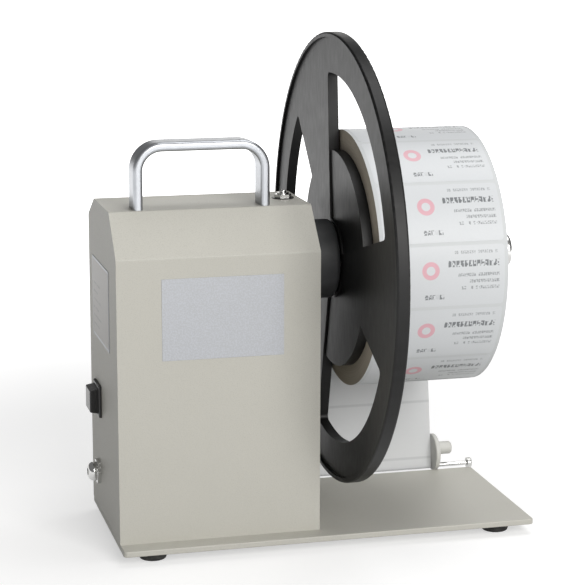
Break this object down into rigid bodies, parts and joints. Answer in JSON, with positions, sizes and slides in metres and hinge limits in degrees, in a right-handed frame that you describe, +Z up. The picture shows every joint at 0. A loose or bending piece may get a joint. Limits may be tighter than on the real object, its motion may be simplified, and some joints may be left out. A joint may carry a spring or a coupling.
{
  "type": "label rewinder",
  "caption": "Bench label rewinder: motor cabinet with carry handle, spoked flange wheel and label roll on a spindle over a flat base, with a rear guide rod.",
  "frame": {"origin": "on the surface the feet stand on, under the spindle's axis and midway between the left and right ends", "axes": "+X along the spindle towards its free end, +Y to the back, +Z up"},
  "size_m": [0.2602, 0.27, 0.299],
  "materials": {
    "cabinet_paint": "fine textured powder coat",
    "zinc_steel": "bright zinc plate",
    "polished_steel": "polished",
    "handle_aluminium": "satin anodised",
    "wheel_black": "satin moulded",
    "housing_grey": "matte",
    "switch_black": "semi gloss",
    "nylon_white": "satin",
    "foot_rubber": "matte",
    "belt_rubber": "matte",
    "label_paper": "smooth",
    "core_card": "plain",
    "label_film": "satin film",
    "motor_grey": "satin",
    "pulley_aluminium": "machined",
    "board_green": "solder mask",
    "bush_brass": "machined"
  },
  "bodies": {
    "chassis": {"base_plate": "cabinet_paint", "rubber_feet": "foot_rubber", "foot_screws": "zinc_steel", "panel_screws": "zinc_steel", "bracket_screws": "zinc_steel", "cabinet_cover": "cabinet_paint", "left_side_panel": "cabinet_paint", "right_side_panel": "cabinet_paint", "rear_screws": "zinc_steel", "carry_handle": "handle_aluminium", "handle_screws": "zinc_steel", "front_label": "label_film", "rating_label": "label_film", "switch_housing": "switch_black", "speed_case": "polished_steel", "speed_nut": "polished_steel", "speed_plate": "switch_black", "power_socket": "polished_steel", "socket_nut": "polished_steel", "bearing_housing": "housing_grey", "housing_screws": "zinc_steel", "spindle_bearings": "polished_steel", "drive_belt": "belt_rubber", "motor_bracket": "zinc_steel", "gear_motor": "motor_grey", "motor_screws": "zinc_steel", "arm_bush": "bush_brass", "arm_spring": "zinc_steel", "limit_switch": "switch_black", "board_standoffs": "bush_brass", "control_board": "board_green", "label_web": "label_paper"},
    "spindle_line": {"spindle": "polished_steel", "retaining_ring": "zinc_steel", "flange_wheel": "wheel_black", "wheel_screws": "zinc_steel", "core_tube": "core_card", "label_roll": "label_paper", "inner_core_adapter": "nylon_white", "outer_core_adapter": "nylon_white", "adapter_set_screw": "zinc_steel", "driven_pulley": "pulley_aluminium"},
    "motor_line": {"motor_pulley": "pulley_aluminium", "motor_shaft": "zinc_steel"},
    "rocker": {"switch_rocker": "switch_black"},
    "speed_control": {"speed_shaft": "polished_steel"},
    "arm": {"arm_shaft": "zinc_steel", "tension_arm": "zinc_steel", "guide_rod": "polished_steel", "rod_cap": "zinc_steel", "arm_cam": "nylon_white"},
    "outer_guide": {"outer_edge_guide": "nylon_white", "outer_guide_peg": "nylon_white"},
    "inner_guide": {"inner_edge_guide": "nylon_white", "inner_guide_peg": "nylon_white"}
  },
  "joints": [
    {"name": "spindle_turn", "type": "hinge", "parent": "chassis", "child": "spindle_line", "pos_m": [0, 0, 0.164], "axis": [1, 0, 0], "continuous": true},
    {"name": "motor_turn", "type": "hinge", "parent": "chassis", "child": "motor_line", "pos_m": [0, 0, 0.102], "axis": [1, 0, 0], "continuous": true},
    {"name": "rocker_tilt", "type": "hinge", "parent": "chassis", "child": "rocker", "pos_m": [-0.1217, 0.0245, 0.0797], "axis": [0, 1, 0], "range_deg": [-9, 9]},
    {"name": "speed_turn", "type": "hinge", "parent": "chassis", "child": "speed_control", "pos_m": [-0.0132, 0.004, 0.201], "axis": [0, 0, 1], "range_deg": [0, 280]},
    {"name": "arm_swing", "type": "hinge", "parent": "chassis", "child": "arm", "pos_m": [0, 0.037, 0.0545], "axis": [1, 0, 0], "range_deg": [0, 25], "stiffness_Nm_per_rad": 0.02, "springref_deg": -28.65, "deforming": ["label_web"]},
    {"name": "outer_guide_slide", "type": "slide", "parent": "arm", "child": "outer_guide", "axis": [1, 0, 0], "range_m": [0, 0.02]},
    {"name": "inner_guide_slide", "type": "slide", "parent": "arm", "child": "inner_guide", "axis": [1, 0, 0], "range_m": [-0.009, 0]}
  ],
  "couplings": [
    {"joint": "motor_turn", "follows": "spindle_turn", "ratio": 2.6667}
  ]
}
